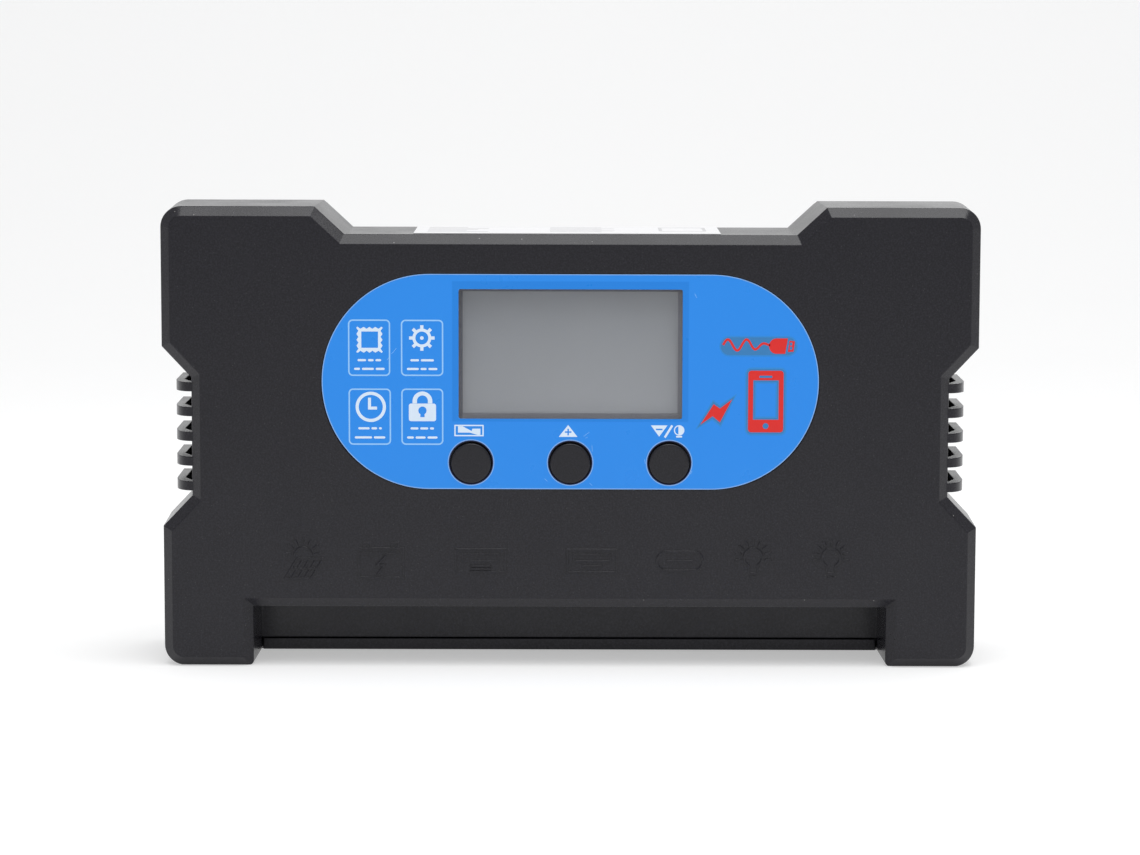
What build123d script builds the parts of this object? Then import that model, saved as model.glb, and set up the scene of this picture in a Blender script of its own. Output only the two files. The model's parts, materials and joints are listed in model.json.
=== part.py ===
"""Solar charge controller with an LCD, three buttons, screw terminals and USB sockets.

Frame: millimetres, +Z up, the front face looks along -Y, +X to the right of a person who reads
the display. The origin is the centre of the footprint, on the surface the controller stands on.
Most of the model is laid out by depth: the distance behind the flat front face.
"""
from build123d import *
import os
from math import atan, atan2, cos, degrees, hypot, pi, sin, tan

# ---- Housing -------------------------------------------------------------------------------
FACE_Y = -18.9          # the flat front face; the raised icons stand in front of it
HALF_WIDTH = 94.0       # at the outer edge of the front chamfer
LOBE_TOP = 106.25       # top of the two raised lobes
MID_TOP = 99.95         # lower top edge between the lobes
LOBE_INNER_X = 58.73    # where a lobe starts to slope down
MID_CORNER_X = 51.90    # where that slope meets the lower top edge
NOTCH_X = 87.25         # side notch that holds the vents
NOTCH_TOP = (74.10, 66.90)      # height of its upper slope at the side, and at the notch wall
NOTCH_BOTTOM = (32.50, 39.60)   # height of its lower slope at the side, and at the notch wall
BAY_X = 73.35           # half-width of the wire bay between the feet
BAY_ROOF = 13.8         # height of its roof
BAY_DEPTH = 21.0        # depth of its back wall
CHAMFER = 2.25
EDGE_R = 0.3            # rounding of the two edges of the front chamfer
CORNER_R = 4.8
FOOT_INNER_R = 1.2
WALL = 2.2
PARTING = 24.0          # depth of the joint between the covers
FLARE = 1.13            # moulding draft: how far the walls spread from the chamfer to the joint
REAR_STEP = 0.4         # the rear cover stands this far inside the front cover's edge
REAR_DRAFT = 0.43
REAR_CHAMFER = 1.5
DEPTH = 38.0            # front face to rear face
LIP_GAP = 0.2
LIP_WALL = 1.1
LIP_LENGTH = 1.8
BAY_SILL = 3.0          # top of the rear cover's sill that closes the bay at the bottom
SILL_GAP = 0.4
FOOT_RELIEF = 0.4       # between the feet the sill clears the surface
FOOT_STOCK = 0.1        # the feet are drawn this much longer, then cut flat

# ---- Side vents ----------------------------------------------------------------------------
RIB_COUNT = 5
RIB_PITCH = 5.74
RIB_HEIGHT = (2.05, 2.7)    # at the front face and at the joint of the covers
RIB_Z = 52.2                # underside of the middle rib
RIB_X = (87.0, 91.6, 92.0)  # root, outer side at the end of the nose, outer side at the joint
RIB_NOSE = (2.0, 10.0)      # depths between which the front of a rib curves back
RIB_HOLLOW = ((84.0, 5.2), (87.9, 5.2), (89.7, 9.0), (89.9, 22.2), (84.0, 22.2))    # x, depth
VENT_WINDOW = (5.0, 20.0, 40.4, 66.2)   # depth from, depth to, z from, z to

REAR_VENT = (64.0, 2.4)     # length and height of a slot in the rear cover
REAR_VENT_COUNT = 10
REAR_VENT_PITCH = 5.0
REAR_VENT_Z = 42.0          # height of the lowest slot

# ---- Front panel ---------------------------------------------------------------------------
OVERLAY_SIZE = (114.1, 49.5)
OVERLAY_Z = 66.2
OVERLAY_RECESS = 0.35
OVERLAY_THICK = 0.25
OVERLAY_GAP = 0.2
WINDOW = (27.1, 57.1, 89.3)     # half-width, z from, z to of the display opening
BUTTON_X = 22.8
BUTTON_Z = 47.6
BUTTON_HOLE_R = 5.05
BUTTON_R = 4.65
BUTTON_EDGE_R = 0.45
BUTTON_DEPTH = (-0.2, 2.45, 3.3, 4.4)   # front, flange, back of the flange, end of the stem
BUTTON_FLANGE_R = 6.1
PLUNGER_R = 1.7
PLUNGER_DEPTH = (4.5, 6.4)
SWITCH_HALF = 3.0       # half-width of a switch body
BUTTON_SAG = 0.2        # the caps hang at the bottom of their holes
ICON_RAISE = 0.2
ICON_LINE = 0.45
ICON_Z = 24.8
LABEL_X = (-36.1, 34.5)
LABEL_DEPTH = (3.6, 23.2)
LABEL_THICK = 0.12

# ---- Circuit board -------------------------------------------------------------------------
BOARD_HALF = 83.0
BOARD_Z = (16.6, 95.0)
BOARD_FRONT = 8.6       # depth of the side that carries the display
BOARD_BACK = 10.2       # depth of the side that carries the terminals
BOARD_SCREWS = ((-78, 22), (78, 22), (-78, 89), (78, 89), (-40, 33.5), (40, 33.5))
HOUSING_SCREWS = ((-86.2, 98.6), (86.2, 98.6), (-83.5, 9.0), (83.5, 9.0), (-44, 94.0), (44, 94.0))
BOSS_R = 3.4
BOARD_POST_R = 3.0
COLUMN_R = 4.5
HOUSING_SCREW = (2.8, 2.1, 1.4, 30.0, 19.0)     # head radius and height, shank, depth, length
BOARD_SCREW = (2.5, 1.7, 1.1, BOARD_BACK, 6.0)
PILOT_GAP = 0.05        # between a thread and its pilot hole
SHANK_GAP = 0.3
HEAD_GAP = 0.4

# ---- Display -------------------------------------------------------------------------------
DISPLAY_Z = 72.85
BEZEL_HALF = (30.0, 18.3)
BEZEL_OPENING = (24.75, 14.05)
GLASS_HALF = (27.6, 17.0)
POLARISER_HALF = (26.4, 15.6)
CLIP_X = 20.0           # the bezel's clips through the board
CLIP_HALF = (1.5, 0.6)
CLIP_GAP = 0.3

# ---- Terminals -----------------------------------------------------------------------------
POLE_PITCH = 9.0
SOURCE_BLOCK_X = -52.55     # middle of the solar and battery block
LOAD_BLOCK_X = 51.30        # middle of the block for the two loads
POLE_Z = 20.75              # height of the clamp screws
BLOCK_BACK = 27.6
CAGE_HALF = 3.5
CAGE_Z = (17.5, 24.0)
CAGE_DEPTH = (11.5, 20.0)   # with the clamp open
BAR_DEPTH = (17.1, 18.2)
SCREW_R = 1.75
THREAD_GAP = 0.2            # the threads are left out, as a plain gap
SCREW_HEAD_R = 3.2
SCREW_HEAD = (24.9, 27.1)   # depths of the clamp screw's head
CAGE_ROOM = 0.3             # room around a cage in its block
CAGE_INNER = 2.6            # half-width inside the cage
DRIVER_WINDOW = (37.0, 8.0)     # opening in the rear cover over four clamp screws
DRIVER_WINDOW_R = 1.5

# ---- USB sockets ---------------------------------------------------------------------------
USB_A_X = (-20.6, 5.1)
USB_A_SIZE = (13.1, 5.7, 14.0)
USB_C_X = 25.4
USB_C_SIZE = (8.94, 3.26, 7.4)
SOCKET_MOUTH = 14.1
SHELL_WALL = 0.3

# ---- Power parts ---------------------------------------------------------------------------
SINK_HALF = 60.0
SINK_Z = (45.0, 85.0)
SINK_BASE = (22.0, 25.0)    # depths of the base plate
FIN_COUNT = 16
FIN_THICK = 1.5
FIN_END = 34.0
SINK_SCREW = (2.75, 1.9, 1.5, SINK_BASE[1], 5.0)
SINK_BORE_R = 1.55
TRANSISTOR_COUNT = 6
TRANSISTOR_PITCH = 19.0
TRANSISTOR_Z = 58.0         # lower end of the moulded bodies
TRANSISTOR_HALF = 5.1
TRANSISTOR_DEPTH = (17.3, 20.5, 21.8)   # front of the body, of the tab and of the pad
TAB_HOLE = (12.6, 1.8)      # height over the lower end, radius
LEAD_PITCH = 2.54
CAPACITOR_R = 6.25
CAPACITOR_HEIGHT = 20.0
CAPACITOR_PLACES = ((-71.2, 60.0), (-71.2, 44.5), (71.2, 60.0), (71.2, 44.5))
FUSE_PLACES = ((-54.0, 39.0), (54.0, 39.0))
BLADE_X = 7.0               # from the middle of a fuse to its blades
SHUNT_X = (-31.0, -21.0)
SHUNT_Z = 38.0
SHUNT_RISE = 6.0
SHUNT_BEND_R = 2.5
SHUNT_WIRE_R = 1.0
KEYHOLE_X = 72.0
KEYHOLE_Z = 82.0
KEYHOLE_HEAD_R = 4.5
KEYHOLE_SLOT_R = 2.25
KEYHOLE_RISE = 8.0


# ---- Helpers -------------------------------------------------------------------------------
def at_depth(depth):
    """Sketch plane parallel to the front face: local x is X and local y is Z."""
    return Plane(origin=(0, FACE_Y + depth, 0), x_dir=(1, 0, 0), z_dir=(0, -1, 0))


def slab(profile, near, far):
    """Front-view profile as a solid between two depths."""
    return extrude(at_depth(far) * profile, amount=far - near)


def block(x0, x1, near, far, z0, z1):
    """Box between two x values, two depths and two heights."""
    middle = ((x0 + x1) / 2, FACE_Y + (near + far) / 2, (z0 + z1) / 2)
    return Pos(*middle) * Box(x1 - x0, far - near, z1 - z0)


def rod(x, z, radius, near, far):
    """Cylinder along the depth."""
    return slab(Pos(x, z) * Circle(radius), near, far)


def plate(plan, z0, z1):
    """Solid from a plan of (x, depth) corners between two heights."""
    corners = [(x, FACE_Y + depth) for x, depth in plan]
    return extrude(Pos(0, 0, z0) * make_face(Polyline(*corners, close=True)), amount=z1 - z0)


def both_sides(part):
    """The part and its mirror image on the other side of the controller."""
    return [part, mirror(part, about=Plane.YZ)]


def save(name, *solids):
    """Write one node; several solids make a group."""
    shape = solids[0] if len(solids) == 1 else Compound(children=[Part() + s for s in solids])
    export_step(shape, f"parts/{name}.step")


def shifted_polygon(points, shifts):
    """Corners of a clockwise polygon after each side has moved outwards by its own shift."""
    lines = []
    for start, end, shift in zip(points, points[1:] + points[:1], shifts):
        run = (end[0] - start[0], end[1] - start[1])
        length = hypot(*run)
        normal = (-run[1] / length, run[0] / length)
        lines.append((*normal, normal[0] * start[0] + normal[1] * start[1] + shift))
    corners = []
    for before, after in zip(lines[-1:] + lines[:-1], lines):
        cross = before[0] * after[1] - before[1] * after[0]
        x = (before[2] * after[1] - after[2] * before[1]) / cross
        z = (before[0] * after[2] - after[0] * before[2]) / cross
        corners.append((x, z))
    return corners


def outline(drafted, fixed, bay=True):
    """Front view of the housing, with its drafted sides and its level sides moved outwards."""
    right = [
        (MID_CORNER_X, MID_TOP),
        (LOBE_INNER_X, LOBE_TOP),
        (HALF_WIDTH, LOBE_TOP),
        (HALF_WIDTH, NOTCH_TOP[0]),
        (NOTCH_X, NOTCH_TOP[1]),
        (NOTCH_X, NOTCH_BOTTOM[1]),
        (HALF_WIDTH, NOTCH_BOTTOM[0]),
        (HALF_WIDTH, -FOOT_STOCK),
    ]
    corner_r = CORNER_R + fixed
    radii = [0, 0, corner_r, 0, 0, 0, 0, corner_r]
    shifts = [drafted] * 7
    if bay:
        right += [(BAY_X, -FOOT_STOCK), (BAY_X, BAY_ROOF)]
        radii += [max(FOOT_INNER_R + fixed, 0.2), 0]
        shifts += [fixed, fixed]
    left = [(-x, z) for x, z in reversed(right)]
    points = shifted_polygon(right + left, shifts + [fixed] + shifts[::-1] + [drafted])
    return make_face(FilletPolyline(*points, radius=radii + radii[::-1], close=True))


def below_feet():
    """Everything under the surface that the controller stands on."""
    return block(-HALF_WIDTH - 5, HALF_WIDTH + 5, -1, DEPTH + 1, -5, 0)


def rounded_chamfer():
    """(depth, inset) steps down the front chamfer, with both of its edges rounded."""
    tangent = EDGE_R * tan(pi / 8)
    middle = (EDGE_R * (1 - cos(pi / 8)), CHAMFER + tangent - EDGE_R * sin(pi / 8))
    end = (tangent * cos(pi / 4), CHAMFER - tangent * cos(pi / 4))
    upper = [(0, CHAMFER + tangent), middle, end]
    return upper + [(inset, depth) for depth, inset in reversed(upper)]


def stadium(length, height, grow=0.0):
    """Slot outline with round ends."""
    return SlotOverall(length + 2 * grow, height + 2 * grow)


# ---- Raised icons over the sockets -----------------------------------------------------------
def stroke(x0, z0, x1, z1):
    """Straight raised line of an icon."""
    line = SlotOverall(hypot(x1 - x0, z1 - z0) + ICON_LINE, ICON_LINE)
    angle = degrees(atan2(z1 - z0, x1 - x0))
    return Pos((x0 + x1) / 2, (z0 + z1) / 2) * Rot(0, 0, angle) * line


def ring(radius):
    """Raised circle of an icon."""
    return Circle(radius + ICON_LINE / 2) - Circle(radius - ICON_LINE / 2)


def frame_lines(width, height):
    """Raised rectangle of an icon."""
    outer = Rectangle(width + ICON_LINE, height + ICON_LINE)
    return outer - Rectangle(width - ICON_LINE, height - ICON_LINE)


def rays(radius, length, first, last, count):
    """Short strokes that stand around a sun or a lamp, between two angles in degrees."""
    strokes = []
    for i in range(count):
        angle = (first + (last - first) * i / (count - 1)) * pi / 180
        near = (radius * cos(angle), radius * sin(angle))
        far = ((radius + length) * cos(angle), (radius + length) * sin(angle))
        strokes.append(stroke(*near, *far))
    return strokes


def solar_icon():
    """Half sun over a slanting panel."""
    half_sun = Pos(0, 1.0) * (ring(2.0) & (Pos(0, 2) * Rectangle(8, 4)))
    panel = [stroke(-4.2 + 1.5 * i, -4.2, -1.4 + 1.5 * i, 0.4) for i in range(5)]
    panel += [stroke(-4.2, -4.2, 1.8, -4.2), stroke(-2.8, -1.9, 3.2, -1.9), stroke(-1.4, 0.4, 4.6, 0.4)]
    return [half_sun] + panel + [Pos(0, 1.0) * ray for ray in rays(2.9, 1.2, 10, 170, 7)]


def battery_icon():
    """Battery with two posts and a flash."""
    lines = [Pos(0, -0.6) * frame_lines(10.2, 6.8), stroke(-5.1, 1.6, 5.1, 1.6)]
    lines += [Pos(x, 3.5) * frame_lines(1.6, 1.2) for x in (-3.2, 3.2)]
    lines += [stroke(0.9, 0.9, -1.1, -1.2), stroke(-1.1, -1.2, 0.9, -0.9), stroke(0.9, -0.9, -0.9, -3.2)]
    return lines


def usb_a_icon(bars):
    """Mouth of a USB-A socket, with one or two contact bars that tell the sockets apart."""
    lines = [frame_lines(11.4, 5.2), Pos(0, 0.7) * frame_lines(8.4, 1.5)]
    lines += [stroke(-2.2, -1.2 - 0.7 * i, 2.2, -1.2 - 0.7 * i) for i in range(bars)]
    return lines


def usb_c_icon():
    """Mouth of a USB-C socket."""
    mouth = stadium(10.6, 4.4, ICON_LINE / 2) - stadium(10.6, 4.4, -ICON_LINE / 2)
    return [mouth, stroke(-3.0, 0, 3.0, 0)]


def lamp_icon():
    """Lamp bulb with rays."""
    bulb = Pos(0, 0.9) * (ring(2.1) - Pos(0, -2.3) * Rectangle(2.0, 1.4))
    neck = [stroke(-1.0, -1.0, -1.0, -2.8), stroke(1.0, -1.0, 1.0, -2.8), stroke(-1.0, -2.8, 1.0, -2.8)]
    foot = [stroke(-0.5, -3.7, 0.5, -3.7)]
    return [bulb] + neck + foot + [Pos(0, 0.9) * ray for ray in rays(3.0, 1.1, -10, 190, 9)]


def raised_icons():
    """All icons in the cover, one over each pair of terminals and each socket."""
    icons = (
        (SOURCE_BLOCK_X - POLE_PITCH, solar_icon()),
        (SOURCE_BLOCK_X + POLE_PITCH, battery_icon()),
        (USB_A_X[0], usb_a_icon(2)),
        (USB_A_X[1], usb_a_icon(1)),
        (USB_C_X, usb_c_icon()),
        (LOAD_BLOCK_X - POLE_PITCH, lamp_icon()),
        (LOAD_BLOCK_X + POLE_PITCH, lamp_icon()),
    )
    solids = []
    for x, lines in icons:
        art = Sketch() + [Pos(x, ICON_Z) * line for line in lines]
        solids.append(slab(art, -ICON_RAISE, 0.2))
    return solids


# ---- Housing ---------------------------------------------------------------------------------
def pole_places():
    """x of the eight terminal poles, from left to right."""
    offsets = [(i - 1.5) * POLE_PITCH for i in range(4)]
    return [middle + offset for middle in (SOURCE_BLOCK_X, LOAD_BLOCK_X) for offset in offsets]


def socket_openings():
    """Cut-outs in the bay's roof for the terminal blocks and the USB sockets."""
    top = BAY_ROOF + WALL + 0.5
    cuts = []
    for x in (SOURCE_BLOCK_X, LOAD_BLOCK_X):
        cuts.append(block(x - 18.6, x + 18.6, 10.9, 20.7, BAY_ROOF - 1, top))
    for x in USB_A_X:
        cuts.append(block(x - 6.85, x + 6.85, 9.9, 16.2, BAY_ROOF - 1, top))
    cuts.append(block(USB_C_X - 4.8, USB_C_X + 4.8, 9.9, 13.8, BAY_ROOF - 1, top))
    return cuts


def vent_ribs():
    """Hollow ribs that stand across each side vent; air passes between and through them."""
    root, nose_x, joint_x = RIB_X
    nose_start, nose_end = RIB_NOSE
    front_height, back_height = RIB_HEIGHT
    loop = plate(((root, nose_end), (nose_x, nose_end), (joint_x, PARTING), (root, PARTING)), 0, back_height)
    nose = Pos(root, FACE_Y + nose_end) * Ellipse(nose_x - root, nose_end - nose_start)
    nose &= Pos(root, FACE_Y) * Rectangle(nose_x - root, nose_end, align=(Align.MIN, Align.MIN))
    loop += extrude(nose, amount=back_height)
    side = ((0, 0), (PARTING, 0), (PARTING, back_height), (0, front_height))
    draft = make_face(Polyline(*[(0, FACE_Y + depth, z) for depth, z in side], close=True))
    loop &= extrude(draft, amount=HALF_WIDTH, dir=(1, 0, 0))
    loop -= plate(RIB_HOLLOW, -1, back_height + 1)
    ribs = []
    for i in range(RIB_COUNT):
        z = RIB_Z + (i - (RIB_COUNT - 1) / 2) * RIB_PITCH
        ribs += both_sides(Pos(0, 0, z) * loop)
    return ribs


def front_cover():
    """Deep front shell with the panel recess, the vents, the bay and its screw bosses."""
    outside = [at_depth(depth) * outline(-inset, -inset) for depth, inset in rounded_chamfer()]
    outside.append(at_depth(PARTING) * outline(FLARE, 0))
    inside = [
        at_depth(WALL) * outline(-WALL, -WALL),
        at_depth(PARTING) * outline(FLARE - WALL, -WALL),
    ]
    cover = loft(outside, ruled=True) - loft(inside, ruled=True)
    cover += block(-BAY_X - 1, BAY_X + 1, BAY_DEPTH, BAY_DEPTH + WALL, BAY_SILL + SILL_GAP, BAY_ROOF + 1)
    near, far, low, high = VENT_WINDOW
    cover -= both_sides(block(80, NOTCH_X + 2, near, far, low, high))
    cover += vent_ribs()
    cover += [rod(x, z, BOSS_R, WALL - 0.5, PARTING - 0.2) for x, z in HOUSING_SCREWS]
    cover += [rod(x, z, BOARD_POST_R, WALL - 0.5, BOARD_FRONT) for x, z in BOARD_SCREWS]
    cover -= [rod(x, z, HOUSING_SCREW[2] + PILOT_GAP, 9.0, PARTING) for x, z in HOUSING_SCREWS]
    cover -= [rod(x, z, BOARD_SCREW[2] + PILOT_GAP, 3.4, BOARD_FRONT + 1) for x, z in BOARD_SCREWS]
    cover -= socket_openings()
    cover -= slab(Pos(0, OVERLAY_Z) * stadium(*OVERLAY_SIZE, OVERLAY_GAP), -1, OVERLAY_RECESS)
    half, low, high = WINDOW
    cover -= block(-half, half, -1, WALL + 1, low, high)
    cover -= [rod(x, BUTTON_Z, BUTTON_HOLE_R, -1, WALL + 1) for x in (-BUTTON_X, 0, BUTTON_X)]
    return cover - below_feet() + raised_icons()


def rear_cover():
    """Shallow rear tray with a lip, screw columns, driver windows, vents and keyholes."""
    step = FLARE - REAR_STEP
    chamfer_start = DEPTH - REAR_CHAMFER
    outside = [
        at_depth(PARTING) * outline(step, 0, bay=False),
        at_depth(chamfer_start) * outline(step - REAR_DRAFT, 0, bay=False),
        at_depth(DEPTH) * outline(step - REAR_DRAFT - REAR_CHAMFER, -REAR_CHAMFER, bay=False),
    ]
    inner_floor = DEPTH - WALL
    inside = [
        at_depth(PARTING) * outline(step - WALL, -WALL, bay=False),
        at_depth(inner_floor) * outline(step - REAR_DRAFT - WALL, -WALL, bay=False),
    ]
    cover = loft(outside, ruled=True) - loft(inside, ruled=True)

    lip_out = FLARE - WALL - LIP_GAP
    lip_start = PARTING - LIP_LENGTH
    lip = slab(outline(lip_out, -WALL - LIP_GAP, bay=False), lip_start, PARTING + 0.3)
    lip -= slab(outline(lip_out - LIP_WALL, -WALL - LIP_GAP - LIP_WALL, bay=False), 0, DEPTH)
    lip -= block(-BAY_X - 3, BAY_X + 3, 0, PARTING, -1, BAY_ROOF + 4)
    cover += lip
    sill_half = BAY_X - 0.3
    cover += block(-sill_half, sill_half, BAY_DEPTH, PARTING + 0.3, FOOT_RELIEF, BAY_SILL)
    cover -= block(-BAY_X, BAY_X, 0, DEPTH + 1, -1, FOOT_RELIEF)

    cover += [rod(x, z, COLUMN_R, PARTING, DEPTH - 1) for x, z in HOUSING_SCREWS]
    head_r, head_high, shank_r, head_depth, length = HOUSING_SCREW
    cover -= [rod(x, z, shank_r + SHANK_GAP, 20, DEPTH + 1) for x, z in HOUSING_SCREWS]
    cover -= [rod(x, z, head_r + HEAD_GAP, head_depth, DEPTH + 1) for x, z in HOUSING_SCREWS]

    window = RectangleRounded(*DRIVER_WINDOW, DRIVER_WINDOW_R)
    for x in (SOURCE_BLOCK_X, LOAD_BLOCK_X):
        cover -= slab(Pos(x, POLE_Z) * window, inner_floor - 1, DEPTH + 1)
    for x in (-KEYHOLE_X, KEYHOLE_X):
        cover -= rod(x, KEYHOLE_Z, KEYHOLE_HEAD_R, inner_floor - 1, DEPTH + 1)
        slot = Pos(x, KEYHOLE_Z + KEYHOLE_RISE / 2) * Rot(0, 0, 90)
        slot = slot * SlotCenterToCenter(KEYHOLE_RISE, 2 * KEYHOLE_SLOT_R)
        cover -= slab(slot, inner_floor - 1, DEPTH + 1)
    slot = SlotOverall(*REAR_VENT)
    for i in range(REAR_VENT_COUNT):
        cover -= slab(Pos(0, REAR_VENT_Z + REAR_VENT_PITCH * i) * slot, inner_floor - 1, DEPTH + 1)
    return cover - below_feet()


def display_overlay():
    """Printed film with a clear window, cut out for the buttons."""
    film = Pos(0, OVERLAY_Z) * stadium(*OVERLAY_SIZE)
    film -= [Pos(x, BUTTON_Z) * Circle(BUTTON_HOLE_R + 0.1) for x in (-BUTTON_X, 0, BUTTON_X)]
    return slab(film, OVERLAY_RECESS - OVERLAY_THICK, OVERLAY_RECESS)


def rating_label():
    """Paper sticker on the lower top wall, which leans back with the moulding draft."""
    lean = atan(FLARE / (PARTING - CHAMFER))
    near, far = LABEL_DEPTH
    middle_z = MID_TOP + ((near + far) / 2 - CHAMFER) * tan(lean) + LABEL_THICK / 2 + 0.02
    sheet = Box(LABEL_X[1] - LABEL_X[0], (far - near) / cos(lean), LABEL_THICK)
    sheet = Pos(sum(LABEL_X) / 2, FACE_Y + (near + far) / 2, middle_z) * Rot(degrees(lean), 0, 0) * sheet
    return sheet


def pan_screw(x, z, head_r, head_high, shank_r, head_depth, length):
    """Pan-head screw driven from the rear, with a cross recess; head_depth is under its head."""
    crown = rod(x, z, head_r, head_depth, head_depth + head_high)
    crown = fillet(crown.faces().sort_by(Axis.Y)[-1].edges(), head_high * 0.45)
    tip_depth = head_depth - length
    shank = rod(x, z, shank_r, tip_depth, head_depth)
    shank = chamfer(shank.faces().sort_by(Axis.Y)[0].edges(), shank_r * 0.4)
    cross = Rectangle(head_r * 1.1, head_r * 0.24) + Rectangle(head_r * 0.24, head_r * 1.1)
    recess = slab(Pos(x, z) * cross, head_depth + head_high * 0.45, head_depth + head_high + 1)
    return crown + shank - recess


# ---- Display, buttons and control parts --------------------------------------------------------
def panel_rect(half_x, half_z, near, far, middle_z=DISPLAY_Z):
    """Rectangle centred on the display."""
    return block(-half_x, half_x, near, far, middle_z - half_z, middle_z + half_z)


def clip_places():
    """Middles of the bezel's four clips."""
    rise = BEZEL_HALF[1] - CLIP_HALF[1]
    return [(x, DISPLAY_Z + side * rise) for x in (-CLIP_X, CLIP_X) for side in (-1, 1)]


def lcd_bezel():
    """Black frame that holds the glass and clips through the board."""
    frame = panel_rect(*BEZEL_HALF, 2.35, BOARD_FRONT)
    frame -= panel_rect(*BEZEL_OPENING, 0, 3.2)
    frame -= panel_rect(GLASS_HALF[0] + 0.2, GLASS_HALF[1] + 0.2, 3.0, BOARD_FRONT + 1)
    half_x, half_z = CLIP_HALF
    for x, z in clip_places():
        frame += block(x - half_x, x + half_x, BOARD_FRONT - 1, BOARD_BACK + 1, z - half_z, z + half_z)
    return frame


def lcd_polariser():
    """Grey film on the glass."""
    return panel_rect(*POLARISER_HALF, 3.12, 3.3)


def lcd_glass():
    """Two glass plates; the rear one is longer, for its contact ledge."""
    front_plate = panel_rect(GLASS_HALF[0], POLARISER_HALF[1] + 0.2, 3.3, 4.4)
    return front_plate + panel_rect(*GLASS_HALF, 4.4, 5.5)


def lcd_zebra_strips():
    """Rubber contact strips between the glass ledges and the board."""
    return [
        block(-26, 26, 5.5, BOARD_FRONT, DISPLAY_Z + side * 15.6 - 1.0, DISPLAY_Z + side * 15.6 + 1.0)
        for side in (-1, 1)
    ]


def lcd_backlight():
    """Milky light guide behind the glass."""
    return panel_rect(26.5, 14.0, 5.6, 8.3)


def button_cap(x):
    """Round cap with a soft front edge, a flange behind the cover and a stem."""
    z = BUTTON_Z - BUTTON_SAG
    front, flange, flange_back, stem_end = BUTTON_DEPTH
    cap = rod(x, z, BUTTON_R, front, flange_back)
    cap = fillet(cap.faces().sort_by(Axis.Y)[0].edges(), BUTTON_EDGE_R)
    cap += rod(x, z, BUTTON_FLANGE_R, flange, flange_back)
    cap += rod(x, z, PLUNGER_R, flange_back, stem_end)
    return cap


def switch_plunger(x):
    """Round plunger of a tact switch."""
    z = BUTTON_Z - BUTTON_SAG
    return rod(x, z, PLUNGER_R, *PLUNGER_DEPTH)


def switch_base(x):
    """Square tact switch body with a well for its plunger."""
    z = BUTTON_Z - BUTTON_SAG
    half = SWITCH_HALF
    base = block(x - half, x + half, 5.1, BOARD_FRONT, z - half, z + half)
    return base - rod(x, z, PLUNGER_R + 0.2, 5.0, 7.2)


def main_board():
    """Board with holes for its screws, the housing screws, the bezel clips and the leads."""
    board = block(-BOARD_HALF, BOARD_HALF, BOARD_FRONT, BOARD_BACK, *BOARD_Z)
    board -= [rod(x, z, BOARD_SCREW[2] + SHANK_GAP, 8, 11) for x, z in BOARD_SCREWS]
    board -= [rod(x, z, BOSS_R + 0.6, 8, 11) for x, z in HOUSING_SCREWS]
    half_x, half_z = CLIP_HALF[0] + CLIP_GAP, CLIP_HALF[1] + CLIP_GAP
    board -= [block(x - half_x, x + half_x, 8, 11, z - half_z, z + half_z) for x, z in clip_places()]
    board -= [rod(x, 28.0, 0.75, 8, 11) for x in pole_places()]
    return board


def microcontroller():
    """Flat chip with leads on four sides."""
    chip = block(-48.5, -41.5, 7.2, 8.5, 62.5, 69.5)
    for i in range(11):
        shift = (i - 5) * 0.55
        chip += block(-49.5, -40.5, 8.3, 8.6, 66 + shift - 0.12, 66 + shift + 0.12)
        chip += block(-45 + shift - 0.12, -45 + shift + 0.12, 8.3, 8.6, 61.5, 70.5)
    return chip


def timer_crystal():
    """Low metal can that times the night switching."""
    can = slab(Pos(-45, 53) * SlotOverall(11.0, 4.6), 5.2, 8.3)
    return can + slab(Pos(-45, 53) * SlotOverall(11.6, 5.2), 8.1, BOARD_FRONT)


# ---- Terminals ---------------------------------------------------------------------------------
def terminal_block(middle):
    """Four-pole housing: wires enter from below and the screws are reached from the rear."""
    half = 2 * POLE_PITCH + 0.5
    body = block(middle - half, middle + half, BOARD_BACK, BLOCK_BACK, 16.4, 29.6)
    body += block(middle - half + 0.2, middle + half - 0.2, 11.2, 20.4, 14.0, 16.6)
    for i in range(4):
        x = middle + (i - 1.5) * POLE_PITCH
        side = CAGE_HALF + CAGE_ROOM
        body -= block(x - side, x + side, 11.2, 24.4, CAGE_Z[0] - CAGE_ROOM, CAGE_Z[1] + CAGE_ROOM)
        body -= block(x - 2.7, x + 2.7, 12.2, 17.4, 13.0, 18.0)
        body -= block(x - 2.6, x + 2.6, BAR_DEPTH[0] - 0.2, BAR_DEPTH[1] + 0.2, 24.0, 28.9)
        body -= block(x - 1.2, x + 1.2, BOARD_BACK - 1, BAR_DEPTH[1] + 0.2, 27.0, 28.9)
        body -= rod(x, POLE_Z, 2.2, 24.0, 25.5)
        body -= rod(x, POLE_Z, SCREW_HEAD_R + 0.25, 24.8, BLOCK_BACK - 0.4)
        body -= rod(x, POLE_Z, SCREW_HEAD_R - 0.2, BLOCK_BACK - 1, BLOCK_BACK + 1)
    return body


def current_bar(x):
    """Fixed contact: it crosses the cage and bends down to the board."""
    near, far = BAR_DEPTH
    bar = block(x - 2.3, x + 2.3, near, far, 17.6, 28.6)
    bar += block(x - 1.0, x + 1.0, BOARD_BACK, near + 0.2, 27.4, 28.6)
    return bar + block(x - 0.5, x + 0.5, BOARD_FRONT - 1.0, BOARD_BACK + 0.2, 27.5, 28.5)


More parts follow.
